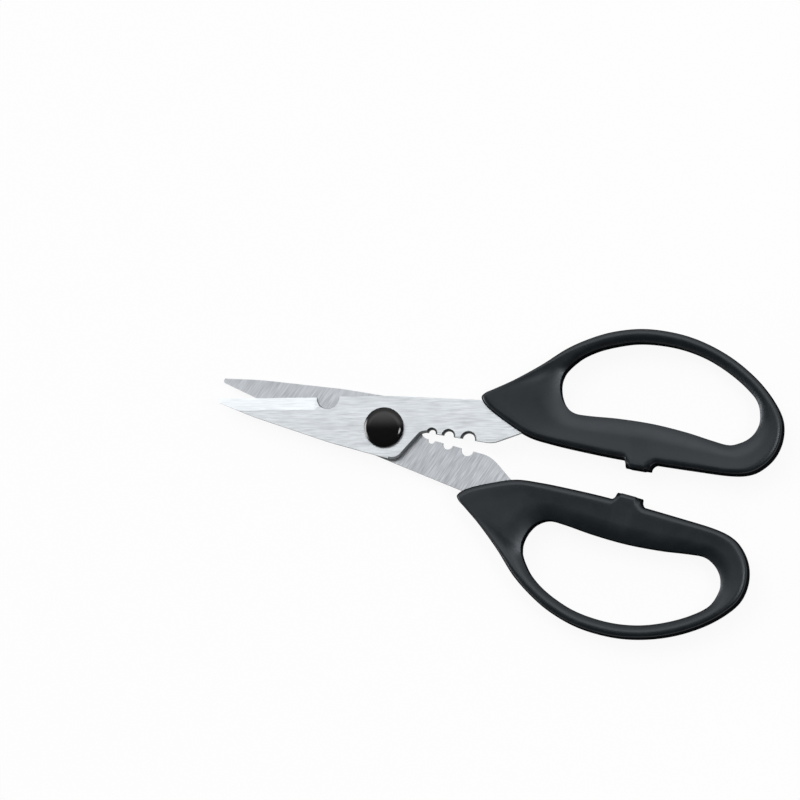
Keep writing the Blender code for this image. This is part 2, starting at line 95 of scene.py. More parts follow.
# Stripping notches: places as shares of the way from the shoulder to the handle's nose, and radii
# as shares of the widest one's
STRIP_NOTCH_SHARES = ((0.192, 0.587), (0.526, 0.804), (0.926, 1.0))
# Depth of a notch's chamfer, as a share of its width
NOTCH_STEEPNESS = 1.7
# Length over which the heel's chamfer starts and ends
CHAMFER_LEAD = 0.3 * MM
# How sharply a handle's flat side falls less as it gets wider
DISH_POWER = 4

# Matching points of the handle's outline and of its finger hole. The first two numbers are shares
# of the handle's length and rise, the last two are shares of the hole's own box.
LOOP_SHARES = (
    (0.000, 0.317, 0.000, 0.396),
    (0.008, 0.355, 0.001, 0.427),
    (0.032, 0.389, 0.004, 0.462),
    (0.095, 0.480, 0.013, 0.520),
    (0.175, 0.617, 0.039, 0.607),
    (0.247, 0.759, 0.083, 0.715),
    (0.316, 0.857, 0.147, 0.814),
    (0.389, 0.933, 0.228, 0.897),
    (0.475, 0.985, 0.332, 0.971),
    (0.558, 1.000, 0.446, 1.000),
    (0.647, 0.986, 0.565, 0.989),
    (0.736, 0.937, 0.684, 0.930),
    (0.819, 0.859, 0.798, 0.821),
    (0.896, 0.751, 0.901, 0.678),
    (0.956, 0.628, 0.974, 0.523),
    (0.991, 0.512, 1.000, 0.343),
    (1.000, 0.384, 0.992, 0.213),
    (0.987, 0.263, 0.965, 0.114),
    (0.956, 0.166, 0.923, 0.043),
    (0.913, 0.101, 0.870, 0.000),
    (0.846, 0.071, 0.785, 0.019),
    (0.719, 0.062, 0.656, 0.063),
    (0.592, 0.058, 0.487, 0.094),
    (0.466, 0.058, 0.318, 0.090),
    (0.348, 0.068, 0.169, 0.066),
    (0.253, 0.082, 0.094, 0.071),
    (0.172, 0.107, 0.043, 0.142),
    (0.095, 0.177, 0.016, 0.235),
    (0.028, 0.255, 0.003, 0.328),
)

# How far cutting tools reach past what they cut
OVERRUN = 1.0 * MM
# Arcs, and the turns that are left alone, shaded smooth or broken by a small round
ARC_STEP = math.radians(3)
LEAST_STEPS = 8
LEAST_TURN = math.radians(0.5)
SMOOTH_ANGLE = math.radians(35)
BROKEN_ANGLE = math.radians(25)
BREAK_SEGMENTS = 2
MITRE_LIMIT = 0.3
# Steps of round pieces, of the handles' curves and of their sections. To bring stations closer
# together at a turn, the outline counts as longer there, by TURN_REACH a radian.
ROUND_SEGMENTS = 128
NOTCH_SEGMENTS = 96
CURVE_STEPS = 100
STATIONS = 420
TURN_REACH = 3.0 * MM
ROLL_STEPS = 14
FLAT_STEPS = 5
RIDGE_STEPS = 5
WALL_STEPS = 8
RIM_STEPS = 14

# Finishes: tones are how far a pattern darkens and lightens a colour, and a roughness comes with
# what its pattern adds to it
LINE_DETAIL = 3.0
LINE_FADE = 0.55
PLASTIC_IOR = 1.5
PLASTIC_TONES = (0.75, 1.25)
MOTTLE_SIZE = 4.0 * MM
MOTTLE_GAIN = 2.5
MOTTLE_SHARE = 0.6
MOTTLE_ROUGHNESS = 0.05
GRAIN_SIZE = 0.5 * MM
GRAIN_ROUGHNESS = 0.1
GRAIN_HEIGHT = 0.012 * MM
# Painted shade: the handles' matt copy without reflection, and the slants over which it takes over
MATT_ROUGHNESS = 0.75
SHADE_SLANT = (0.3, 0.55)
# Grinding lines: length and width in widths of the finest, share of the whole, and seed
LINE_LAYERS = ((20, 1, 0.72, 0.0), (26, 2.2, 0.16, 7.0), (60, 10, 0.12, 19.0))
LINE_GAIN = 4.5
LINE_HEIGHT = 0.003 * MM
# Width of each blade's finest line, and contrast
FRONT_LINES = (0.26 * MM, 0.08)
BACK_LINES = (0.3 * MM, 0.17)
STEEL_ROUGHNESS = (0.34, 0.12)
# Painted shade: a face is much darker, and rougher, where its normal's upright part is under the
# first, and as ground from the second
UPRIGHT_SHADE_SLOPE = (0.64, 0.84)
UPRIGHT_SHADE_TONE = 0.12
CUT_ROUGHNESS = 0.15
CAP_IOR = 1.38
CAP_TONES = (0.9, 1.1)
CAP_ROUGHNESS = (0.09, 0.06)
HAZE_SIZE = 1.4 * MM
TURNED_TONES = (0.88, 1.1)
TURNED_ROUGHNESS = (0.22, 0.14)
RING_SIZE = 0.12 * MM
RING_HEIGHT = 0.004 * MM
WASHER_TONES = (0.94, 1.04)
WASHER_ROUGHNESS = (0.35, 0.1)
CLOUD_SIZE = 2.0 * MM

# Stage: lamps' sizes in metres, and their places right and up in the picture and above the floor
FLOOR_GAP = 0.02 * MM
VIEW_END = 100.0
FILL_SIZE = 1.4
FILL_PLACE = (-1.0, 1.2, 2.0)
SIDE_SIZE = 0.36
SIDE_PLACE = (0.85, -0.1, 1.23)
# World: a light grows from nothing to full as that part of a direction goes over this range
BACK_RANGE = (0.08, 0.34)
HORIZON_RANGE = (0.05, 0.25)
HIGH_RANGE = (0.56, 0.92)
LOW_SHARE = 0.36
LEFT_RANGE = (0.84, 0.97)
LEFT_RISE = (0.07, 0.13)
LEFT_FALL = (0.2, 0.34)


def mm(name, description, size):
    """A length, kept in metres."""
    default = size * MM
    return FloatProperty(name=name, description=description, default=default, unit="LENGTH")


def degrees(name, description, size):
    """An angle, kept in radians."""
    default = math.radians(size)
    return FloatProperty(name=name, description=description, default=default, subtype="ANGLE")


def factor(name, description, default):
    return FloatProperty(name=name, description=description, default=default, subtype="FACTOR")


def number(name, description, default):
    return FloatProperty(name=name, description=description, default=default)


def tint(name, description, default):
    return FloatVectorProperty(
        name=name, description=description, default=default, subtype="COLOR", min=0, max=1
    )


class BladeSettings(PropertyGroup):
    reach: mm("Reach", "From the pivot to the tip", 62.3)
    tip_width: mm("Tip width", "Width of the blunt tip", 1.5)
    tip_radius: mm("Tip radius", "Rounding of the tip's corners", 0.6)
    spine_depth: mm("Spine depth", "From the centre line to the spine", 11.2)
    spine_radius: mm("Spine radius", "Bends of the spine", 90.0)
    heel_x: mm("Heel", "Behind the pivot", 6.4)
    heel_radius: mm("Heel radius", "Rounding of the heel", 4.7)
    shoulder_x: mm("Shoulder", "Where the flat of the shank begins", 13.95)
    shoulder_radius: mm("Shoulder radius", "Inside bend at the shoulder", 3.5)
    land_height: mm("Land height", "Of the shank's inner edge above the centre line", 0.25)
    knee_radius: mm("Knee radius", "Bends of the shank at the handle", 10.0)
    back_height: mm("Back height", "Of the cutting side beside the pivot", 11.1)
    back_radius: mm("Back radius", "Bend beside the pivot", 100.0)
    shank_width: mm("Shank width", "At the handle's nose", 15.0)
    chamfer: mm("Chamfer", "Along the heel", 0.7)
    offset: mm("Offset", "Of both blades to the front handle's side", 0.65)
    bevel_width: mm("Bevel width", "Of the ground cutting bevel", 4.7)
    edge_thickness: mm("Edge thickness", "Left at the cutting edge", 0.5)
    bevel_end: mm("Bevel end", "How near the pivot the bevel keeps its full depth", 27.3)
    bevel_runout: mm("Bevel run-out", "Length over which the bevel lifts out", 5.0)
    stalk_x: mm("Stalk notch place", "From the pivot to the stalk notch", 22.65)
    stalk_radius: mm("Stalk notch radius", "Radius of the stalk notch", 4.3)
    stalk_drop: mm("Stalk notch drop", "Of its centre below the cutting edge", 0.1)
    stalk_chamfer: mm("Stalk notch chamfer", "Round the stalk notch", 0.1)
    stalk_flare: mm("Stalk notch flare", "Widening towards the outer face", 0.35)
    strip_chamfer: mm("Stripping notch chamfer", "Round the stripping notches", 0.7)
    strip_radius: mm("Stripping notch radius", "Of the widest stripping notch", 2.3)
    tang_setback: mm("Tang root", "From the shank's full width to the finger hole", 8.05)
    tang_reach: mm("Tang reach", "Past the front of the finger hole", 24.0)
    tang_low: mm("Tang low side", "Of the tang's lower side above the centre line", 7.6)
    tang_width: mm("Tang width", "Inside the grip", 5.6)
    tang_radius: mm("Tang radius", "Rounding of the tang's corners", 2.0)
    bore: mm("Pivot hole", "Radius of the sleeve's hole", 3.3)
    seat: mm("Washer seat", "Radius of the friction washer's seat", 6.3)
    seat_height: mm("Seat height", "Of the seat above the middle plane", 0.45)
    edge_break: mm("Edge break", "Round along all of a blade's edges", 0.08)
    colour: tint("Steel", "Colour of the front blade's fine grinding", (0.82, 0.86, 0.895))
    back_colour: tint("Back steel", "Colour of the back blade's grinding", (0.6, 0.625, 0.66))
    grinding: degrees("Grinding", "Direction of the front blade's lines, from +X", 13.24)
    back_grinding: degrees("Back grinding", "Direction of the back blade's lines, from +X", 68)


class HandleSettings(PropertyGroup):
    nose_x: mm("Nose", "From the pivot to the handle's nose", 32.5)
    length: mm("Length", "Of one handle", 110.55)
    rise: mm("Rise", "Of the loop above the closed halves' centre line", 51.55)
    nose_length: mm("Nose length", "From the nose's tip to the finger hole", 27.55)
    end_wall: mm("End wall", "Of the loop's rear end", 9.15)
    arc_wall: mm("Arch wall", "At the top of the loop", 5.0)
    grip_depth: mm("Grip depth", "From the centre line to the finger hole", 14.3)
    setback: mm("Setback", "Of the front handle along its half", 0.64)
    stop_start: mm("Stop start", "From the nose to the stop's front corner", 56.2)
    stop_end: mm("Stop end", "From the nose to the stop's rear corner", 65.5)
    stop_fore_flank: mm("Stop front flank", "Length of the hollow in front of the stop", 1.6)
    stop_rear_flank: mm("Stop rear flank", "Length of the hollow behind the stop", 2.1)
    stop_edge: mm("Stop edge", "Width of the wall at the stop's end", 0.85)
    ridge_fore_inset: mm("Ridge front inset", "From the stop's front corner to its ridge", 1.4)
    ridge_rear_inset: mm("Ridge rear inset", "From the stop's rear corner to its ridge", 2.2)
    ridge_fore_flank: mm("Ridge front flank", "Length of the ridge's bend before the stop", 3.2)
    ridge_rear_flank: mm("Ridge rear flank", "Length of the ridge's bend behind the stop", 5.0)
    roll_width: mm("Roll width", "Of the round into the finger hole", 10.0)
    roll_share: factor("Roll share", "Share of a narrow part's width that the roll takes", 0.55)
    roll_start: degrees("Roll start", "Part of the quarter round that stays upright", 48)
    edge_width: mm("Edge width", "From the ridge's corner to the wall's widest line", 1.75)
    edge_share: factor("Edge share", "Most of the width that the outer edge takes", 0.28)
    ridge_round: mm("Ridge round", "From the ridge's corner to either end of its round", 0.95)
    wall_bow: factor("Wall bow", "Share of the height at which the wall turns upright", 0.82)
    dish_slope: degrees("Dish slope", "Slope of the flat towards the finger hole", 5.2)
    dish_width: mm("Dish width", "Width at which the flat falls half as much", 18.0)
    dish_reach: mm("Dish reach", "Width over which the flat falls", 9.0)
    colour: tint("Plastic", "Colour of the handles", (0.0024, 0.0036, 0.0048))
    # Painted shade and light: a lighter colour for the handles' sides at a slant, where reflection
    # is taken away
    slant_shade_colour: tint("Matt plastic", "Colour of the handles at a slant", (0.006, 0.007, 0.008))
    sheen: tint("Sheen", "Tint of what the handles reflect", (0.85, 0.93, 1.0))
    roughness: factor("Roughness", "Of the handles' satin plastic", 0.39)


class PivotSettings(PropertyGroup):
    cap_edge: mm("Cap edge", "Width of the sloping rim at the cap's side", 0.85)
    edge_slope: degrees("Edge slope", "Slope of the rim at the cap's side", 38)
    edge_rise: degrees("Edge rise", "Slope of the rim at the foot of the crown", 34)
    crown_edge: mm("Crown edge", "Width of the crown's round", 1.65)
    crown_slope: degrees("Crown slope", "Slope at which the crown's round ends", 27)
    crown_step: mm("Crown step", "Height of the step at the crown's foot", 0.1)
    cap_dome: mm("Cap dome", "Fall of the crown towards its round", 0.25)
    cap_wall: mm("Cap wall", "Thickness of the cap's top", 0.65)
    cap_skirt: mm("Cap skirt", "Thickness of the cap's side", 1.8)
    plug_radius: mm("Plug radius", "Of the plug under the cap's middle", 1.3)
    plug_length: mm("Plug length", "Of the plug under the cap's middle", 0.8)
    cap_colour: tint("Cap", "Colour of the caps", (0.003, 0.003, 0.0035))
    steel: tint("Pivot steel", "Colour of the screw, nut and spring washer", (0.55, 0.56, 0.57))
    washer: tint("Washer", "Colour of the plastic washer", (0.75, 0.74, 0.7))


class StageSettings(PropertyGroup):
    floor_radius: mm("Floor", "Radius of the round floor", 6000.0)
    cove_height: mm("Cove height", "Of the floor's upturned rim", 650.0)
    floor_colour: tint("Floor colour", "Colour of the floor", (0.7, 0.7, 0.7))
    floor_glow: factor("Floor glow", "Share of plain white in what is seen of the floor", 0.92)
    low_light: number("Low light", "Strength of the light from all round", 0.08)
    soft_light: number("Soft light", "Strength of the wide light above the back", 2.5)
    left_light: number("Left light", "Strength of the low light at the left", 16.0)
    fill_power: number("Fill lamp", "Power of the soft fill lamp, in watts", 20.0)
    side_power: number("Side lamp", "Power of the small lamp at the right, in watts", 6.0)
    distance: mm("Camera distance", "From the pivot, along the view", 2500.0)
    tilt: degrees("Camera tilt", "Lean from straight above", 10.5)
    lean: degrees("Camera lean", "Direction of the lean, from +X", -26.76)
    turn: degrees("Picture turn", "From the picture's right to +X", -13.24)
    lens: number("Lens", "Focal length in millimetres", 309.4)
    pivot_right: number("Pivot across", "Right of the middle, as a share of the width", -0.01825)
    pivot_up: number("Pivot up", "Above the middle, as a share of the height", -0.035625)


class Value:
    """A shader socket that takes part in Python expressions, each of which adds a Math node."""

    def __init__(self, finish, socket):
        self.finish = finish
        self.socket = socket

    def maths(self, operation, *operands, clamp=False):
        settings = {"operation": operation, "use_clamp": clamp}
        return self.finish.node("ShaderNodeMath", settings, dict(enumerate(operands)))

    def __add__(self, other):
        return self.maths("ADD", self, other)

    __radd__ = __add__

    def __sub__(self, other):
        return self.maths("SUBTRACT", self, other)

    def __rsub__(self, other):
        return self.maths("SUBTRACT", other, self)

    def __mul__(self, other):
        return self.maths("MULTIPLY", self, other)

    __rmul__ = __mul__

    def clamped(self):
        return self.maths("ADD", self, 0, clamp=True)

    def size(self):
        return self.maths("ABSOLUTE", self)


class Finish:
    """The node tree of a material or of the world, with one method that adds its nodes."""

    def __init__(self, tree):
        self.tree = tree

    def node(self, kind, settings=None, inputs=None, output=0):
        made = self.tree.nodes.new(kind)
        for name, value in (settings or {}).items():
            setattr(made, name, value)
        for name, value in (inputs or {}).items():
            self.feed(made.inputs[name], value)
        return Value(self, made.outputs[output])

    def feed(self, socket, value):
        if isinstance(value, Value):
            self.tree.links.new(value.socket, socket)
        else:
            socket.default_value = value

    def dress(self, shader, **inputs):
        """Feeds a shader's inputs, whose names are given with underscores for spaces."""
        for name, value in inputs.items():
            self.feed(shader.inputs[name.replace("_", " ")], value)

    def step(self, value, low, high):
        """A smooth step from 0 to 1 as the value goes from low to high."""
        return self.node("ShaderNodeMapRange", {"interpolation_type": "SMOOTHSTEP"}, {
            "Value": value, "From Min": low, "From Max": high,
        })

    def vector(self, operation, *operands, output="Vector"):
        kind = {"operation": operation}
        return self.node("ShaderNodeVectorMath", kind, dict(enumerate(operands)), output=output)

    def along(self, vector, direction):
        """How far a vector goes along a direction."""
        return self.vector("DOT_PRODUCT", vector, tuple(direction), output="Value")

    def spread(self, value, gain):
        """Draws a noise's values apart round their middle."""
        return ((value - 0.5) * gain + 0.5).clamped()

    def mix_colour(self, share, low, high):
        inputs = {0: share, 6: rgba(low), 7: rgba(high)}
        return self.node("ShaderNodeMix", {"data_type": "RGBA"}, inputs, output=2)

    def toned(self, share, colour, tones):
        """A colour that a pattern varies between two tones."""
        dark, light = tones
        return self.mix_colour(share, Vector(colour) * dark, Vector(colour) * light)

    def streaks(self, angle, along, across, seed):
        """Noise drawn out along a direction: grinding lines of about these sizes, from 0 to 1."""
        place = self.node("ShaderNodeTexCoord", output="Object")
        rotation = (0, 0, -angle)
        place = self.node("ShaderNodeMapping", None, {"Vector": place, "Rotation": rotation})
        place = self.vector("MULTIPLY", place, (1 / along, 1 / across, 1 / along))
        place = self.vector("ADD", place, (seed, seed, seed))
        return self.node("ShaderNodeTexNoise", None, {
            "Vector": place, "Scale": 1.0, "Detail": LINE_DETAIL, "Roughness": LINE_FADE,
        })

    def grain(self, size):
        """Noise of about this size, from 0 to 1."""
        place = self.node("ShaderNodeTexCoord", output="Object")
        return self.node("ShaderNodeTexNoise", None, {"Vector": place, "Scale": 1 / size})

    def bump(self, height, distance):
        return self.node("ShaderNodeBump", None, {"Height": height, "Distance": distance})

    def show(self, inputs):
        """Mixes two shaders and leads them to the output."""
        nodes = self.tree.nodes
        output = nodes.get("Material Output") or nodes.new("ShaderNodeOutputMaterial")
        self.feed(output.inputs["Surface"], self.node("ShaderNodeMixShader", None, inputs))


def rgba(colour):
    """What a colour socket takes: a colour with its alpha, or a link."""
    return colour if isinstance(colour, Value) else (*tuple(colour)[:3], 1.0)


def surface(name, **constants):
    """A new material: its Finish, its Principled shader and itself."""
    material = bpy.data.materials.new(name)
    material.use_nodes = True
    finish = Finish(material.node_tree)
    shader = material.node_tree.nodes["Principled BSDF"]
    finish.dress(shader, **constants)
    return finish, shader, material


def vary(finish, shader, pattern, colour, tones, roughness):
    """Varies a finish's colour and roughness with a pattern."""
    base, added = roughness
    toned = finish.toned(pattern, colour, tones)
    finish.dress(shader, Base_Color=toned, Roughness=base + pattern * added)


def handle_plastic(settings):
    """Satin plastic that turns at a slant into a matt copy, lighter and without reflection: painted
    shade.
    """
    finish, satin, material = surface(
        "satin_charcoal_plastic", IOR=PLASTIC_IOR, Specular_Tint=rgba(settings.sheen)
    )
    mottle = finish.spread(finish.grain(MOTTLE_SIZE), MOTTLE_GAIN)
    grain = finish.grain(GRAIN_SIZE)
    cloud = mottle * MOTTLE_SHARE + grain * (1 - MOTTLE_SHARE)
    uneven = (mottle - 0.5) * MOTTLE_ROUGHNESS + (grain - 0.5) * GRAIN_ROUGHNESS
    relief = finish.bump(grain, GRAIN_HEIGHT)
    toned = finish.toned(cloud, settings.colour, PLASTIC_TONES)
    finish.dress(satin, Base_Color=toned, Roughness=settings.roughness + uneven, Normal=relief)
    matt = finish.node("ShaderNodeBsdfPrincipled", None, {
        "Base Color": finish.toned(cloud, settings.slant_shade_colour, PLASTIC_TONES),
        "Roughness": MATT_ROUGHNESS, "Specular IOR Level": 0.0, "Normal": relief,
    })
    # Painted shade: at a slant the satin gives way to the matt copy, lighter and without reflection
    slant = finish.node("ShaderNodeLayerWeight", output="Facing")
    slant_shade_share = finish.step(slant, *SHADE_SLANT)
    finish.show({0: slant_shade_share, 1: Value(finish, satin.outputs[0]), 2: matt})
    return material


def ground_steel(name, colour, angle, line, contrast):
    """Steel with straight grinding lines of about this width, and upright sides and steep chamfers
    painted dark as shade, and rougher.
    """
    finish, shader, material = surface(name, Metallic=1.0)
    layers = sum(
        finish.streaks(angle, along * line, across * line, seed) * share
        for along, across, share, seed in LINE_LAYERS
    )
    lines = finish.spread(layers, LINE_GAIN)
    # Painted shade: upright sides and steep chamfers are darkened almost to black, and made rougher
    normal = finish.node("ShaderNodeTexCoord", output="Normal")
    upright = 1 - finish.step(finish.along(normal, (0, 0, 1)).size(), *UPRIGHT_SHADE_SLOPE)
    ground = finish.toned(lines, colour, (1 - contrast, 1 + contrast))
    toned = finish.mix_colour(upright, ground, Vector(colour) * UPRIGHT_SHADE_TONE)
    base, added = STEEL_ROUGHNESS
    roughness = base + (lines - 0.5) * added + upright * CUT_ROUGHNESS
    relief = finish.bump(lines, LINE_HEIGHT)
    finish.dress(shader, Base_Color=toned, Roughness=roughness, Normal=relief)
    return material


def cap_plastic(settings):
    finish, shader, material = surface("gloss_black_plastic", IOR=CAP_IOR)
    haze = finish.grain(HAZE_SIZE)
    vary(finish, shader, haze, settings.cap_colour, CAP_TONES, CAP_ROUGHNESS)
    return material


def turned_steel(settings):
    """Steel with fine rings about the pivot's axis."""
    finish, shader, material = surface("turned_steel", Metallic=1.0)
    place = finish.node("ShaderNodeTexCoord", output="Object")
    flat = finish.vector("MULTIPLY", place, (1, 1, 0))
    radius = finish.vector("LENGTH", flat, output="Value")
    kind = {"noise_dimensions": "1D"}
    rings = finish.node("ShaderNodeTexNoise", kind, {"W": radius, "Scale": 1 / RING_SIZE})
    vary(finish, shader, rings, settings.steel, TURNED_TONES, TURNED_ROUGHNESS)
    finish.dress(shader, Normal=finish.bump(rings, RING_HEIGHT))
    return material


def washer_plastic(settings):
    finish, shader, material = surface("natural_white_plastic")
    cloud = finish.grain(CLOUD_SIZE)
    vary(finish, shader, cloud, settings.washer, WASHER_TONES, WASHER_ROUGHNESS)
    return material


def add_object(name, data):
    made = bpy.data.objects.new(name, data)
    bpy.context.scene.collection.objects.link(made)
    return made


def half_matrix(body):
    """Opens a half at the pivot, and turns the back one over."""
    lift = Matrix.Translation((0, 0, MID_HEIGHT))
    if body == "front_half":
        return lift @ Matrix.Rotation(HALF_OPENING, 4, "Z")
    return lift @ Matrix.Rotation(-HALF_OPENING, 4, "Z") @ Matrix.Rotation(math.pi, 4, "X")


def place_piece(name, mesh, body, node, material):
    """Sets a piece modelled in the half frame in its place, in the stead of a CAD node."""
    mesh.transform(half_matrix(body))
    mesh.materials.clear()
    mesh.materials.append(material)
    piece = add_object(name, mesh)
    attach(piece, body)
    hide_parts(node)
    return piece


def mesh_from(name, vertices, faces, smooth=True):
    work = bmesh.new()
    points = [work.verts.new(vertex) for vertex in vertices]
    for face in faces:
        work.faces.new([points[index] for index in face])
    if not smooth:
        bmesh.ops.connect_verts_nonplanar(work, angle_limit=LEAST_TURN, faces=work.faces)
    bmesh.ops.recalc_face_normals(work, faces=work.faces)
    mesh = bpy.data.meshes.new(name)
    work.to_mesh(mesh)
    work.free()
    if smooth:
        mesh.shade_smooth()
        mesh.set_sharp_from_angle(angle=SMOOTH_ANGLE)
    return mesh


def band(this, after):
    """Faces between two rings of vertices, either of which may be one point all round."""
    faces = []
    for corner, place in enumerate(this):
        following = (corner + 1) % len(this)
        face = list(dict.fromkeys([place, this[following], after[following], after[corner]]))
        if len(face) > 2:
            faces.append(face)
    return faces


def tube(rings, ring):
    """Faces of a tube that has this many rings, with this many vertices in each."""
    rows = [range(start, start + ring) for start in range(0, rings * ring, ring)]
    return [face for pair in zip(rows, rows[1:]) for face in band(*pair)]


def turned(name, profile, segments=ROUND_SEGMENTS, closed=True):
    """Surface of revolution about Z. The profile is a row of (radius, height) points."""
    vertices = []
    rings = []
    for radius, height in profile:
        if radius == 0:
            rings.append([len(vertices)] * segments)
            vertices.append((0, 0, height))
            continue
        rings.append(range(len(vertices), len(vertices) + segments))
        for step in range(segments):
            angle = 2 * math.pi * step / segments
            vertices.append((radius * math.cos(angle), radius * math.sin(angle), height))
    faces = []
    for this, after in zip(rings, rings[1:] + rings[:closed]):
        faces += band(this, after)
    return mesh_from(name, vertices, faces)


def cut(mesh, tools):
    """The mesh with the tools' meshes subtracted, one after another."""
    body = add_object("blank", mesh)
    cutters = [add_object(tool.name, tool) for tool in tools]
    for cutter in cutters:
        boolean = body.modifiers.new(cutter.name, "BOOLEAN")
        boolean.operation = "DIFFERENCE"
        boolean.solver = "EXACT"
        boolean.object = cutter
    graph = bpy.context.evaluated_depsgraph_get()
    made = bpy.data.meshes.new_from_object(body.evaluated_get(graph))
    for item in [body, *cutters]:
        bpy.data.objects.remove(item, do_unlink=True)
    return made


def fillet(before, corner, after, radius):
    """Arc that rounds one corner of an outline, never longer than half of either side."""
    to_before = (before - corner).normalized()
    to_after = (after - corner).normalized()
    turn = math.pi - to_before.angle(to_after)
    if radius == 0 or turn < LEAST_TURN:
        return [corner]
    room = min((before - corner).length, (after - corner).length) / 2
    tangent = min(radius * math.tan(turn / 2), room)
    radius = tangent / math.tan(turn / 2)
    centre = corner + (to_before + to_after).normalized() * (radius / math.cos(turn / 2))
    start = corner + to_before * tangent - centre
    side = 1 if start.x * to_before.y - start.y * to_before.x < 0 else -1
    steps = max(LEAST_STEPS, math.ceil(turn / ARC_STEP))
    arc = []
    for step in range(steps + 1):
        angle = side * turn * step / steps
        cosine, sine = math.cos(angle), math.sin(angle)
        arc.append(centre + Vector((
            cosine * start.x - sine * start.y,
            sine * start.x + cosine * start.y,
        )))
    return arc


def rounded_outline(corners):
    """Corners are (x, y, radius, chamfered). Returns the points and whether each is chamfered."""
    points = []
    chamfered = []
    for index, (x, y, radius, flag) in enumerate(corners):
        previous, following = corners[index - 1], corners[(index + 1) % len(corners)]
        before, corner, after = Vector(previous[:2]), Vector((x, y)), Vector(following[:2])
        arc = fillet(before, corner, after, radius)
        flags = [flag] * len(arc)
        if flag and not previous[3]:
            arc.insert(0, arc[0] + (before - corner).normalized() * CHAMFER_LEAD)
            flags.insert(0, False)
        if flag and not following[3]:
            arc.append(arc[-1] + (after - corner).normalized() * CHAMFER_LEAD)
            flags.append(False)
        points.extend(arc)
        chamfered.extend(flags)
    return points, chamfered


def inward(points, index):
    """Unit normal into a counter-clockwise outline at one of its points, mitred."""
    before = (points[index] - points[index - 1]).normalized()
    after = (points[(index + 1) % len(points)] - points[index]).normalized()
    normal = Vector((-before.y - after.y, before.x + after.x)).normalized()
    mitre = max(MITRE_LIMIT, normal.dot(Vector((-after.y, after.x))))
    return normal / mitre


def plate(name, points, chamfered, chamfer):
    """Blade blank with a counter-clockwise outline, and a chamfer round the marked part on top."""
    count = len(points)
    top = []
    for index, point in enumerate(points):
        shift = inward(points, index) * chamfer if chamfered[index] else Vector((0, 0))
        top.append(point + shift)
    levels = [(points, INNER_FACE), (points, OUTER_FACE - chamfer), (top, OUTER_FACE)]
    vertices = [(x, y, height) for outline, height in levels for x, y in outline]
    faces = [list(range(count))[::-1], list(range(count * 2, count * 3))]
    faces += tube(len(levels), count)
    return mesh_from(name, vertices, faces, smooth=False)


def cutting_edge(blade, x, rise):
    """Height of the straight cutting edge, from beside the pivot down to the tip."""
    return rise + blade.back_height + blade.back_height * x / blade.reach


def blade_corners(blade, handle, rise):
    """Blade outline, counter-clockwise from the tip, along the spine to the tang and back."""
    corners = [(-blade.reach, rise - blade.tip_width, blade.tip_radius, False)]
    for x_share, y_share in SPINE_SHARES:
        x = x_share * blade.reach
        corners.append((x, rise + y_share * blade.spine_depth, blade.spine_radius, False))
    hole_x = handle.nose_x + handle.nose_length
    root_x = hole_x - blade.tang_setback
    end_x = hole_x + blade.tang_reach
    tang_high = blade.tang_low + blade.tang_width
    knee_x = blade.shoulder_x + KNEE_SHARE * (handle.nose_x - blade.shoulder_x)
    land = rise + blade.land_height
    corners += [
        (blade.heel_x, rise + HEEL_DEPTH_SHARE * blade.spine_depth, blade.heel_radius, True),
        (blade.shoulder_x, land, blade.shoulder_radius, True),
        (knee_x, land, blade.knee_radius, False),
        (root_x, blade.tang_low, blade.tang_radius, False),
        (end_x, blade.tang_low, blade.tang_radius, False),
        (end_x, tang_high, blade.tang_radius, False),
        (root_x, blade.shank_width, blade.tang_radius, False),
        (handle.nose_x, rise + blade.shank_width, blade.knee_radius, False),
        (0, rise + blade.back_height, blade.back_radius, False),
        (-blade.reach, cutting_edge(blade, -blade.reach, rise), blade.tip_radius, False),
    ]
    return corners


def notch_tool(x, y, radius, chamfer, flare=0.0):
    """Cylinder that flares through the outer face, so that the notch has a chamfered rim."""
    tool = turned("notch", [
        (0, -OVERRUN),
        (radius - flare, -OVERRUN),
        (radius, OUTER_FACE - NOTCH_STEEPNESS * chamfer),
        (radius + chamfer + OVERRUN / NOTCH_STEEPNESS, OUTER_FACE + OVERRUN),
        (0, OUTER_FACE + OVERRUN),
    ], segments=NOTCH_SEGMENTS)
    tool.transform(Matrix.Translation((x, y, 0)))
    return tool


def bevel_tool(blade, rise):
    """Wedge that grinds the outer face down to the cutting edge, and lifts out at its end."""
    tip = Vector((-blade.reach, cutting_edge(blade, -blade.reach, rise)))
    end = Vector((-blade.bevel_end, cutting_edge(blade, -blade.bevel_end, rise)))
    along = (end - tip).normalized()
    inner = Vector((along.y, -along.x))
    slope = (BLADE_THICKNESS - blade.edge_thickness) / blade.bevel_width
    section = [
        (blade.bevel_width + OVERRUN, OUTER_FACE + slope * OVERRUN),
        (-OVERRUN, INNER_FACE + blade.edge_thickness - slope * OVERRUN),
        (-OVERRUN, OUTER_FACE + slope * OVERRUN),
    ]
    stations = [
        (tip - along * blade.bevel_width, 0.0),
        (end, 0.0),
        (end + along * blade.bevel_runout, BLADE_THICKNESS - blade.edge_thickness),
        (end + along * blade.bevel_runout * 2, 2 * BLADE_THICKNESS),
    ]
    vertices = []
    for place, lift in stations:
        for across, height in section:
            point = place + inner * across
            vertices.append((point.x, point.y, height + lift))
    sides = len(section)
    last = len(vertices) - sides
    faces = [list(range(sides))[::-1], list(range(last, last + sides))]
    faces += tube(len(stations), sides)
    return mesh_from("bevel", vertices, faces, smooth=False)


def pivot_tool(blade):
    """Hole for the sleeve, with a seat for half of the friction washer in the inner face."""
    return turned("pivot_hole", [
        (0, -OVERRUN),
        (blade.seat, -OVERRUN),
        (blade.seat, blade.seat_height),
        (blade.bore, blade.seat_height),
        (blade.bore, OUTER_FACE + OVERRUN),
        (0, OUTER_FACE + OVERRUN),
    ])


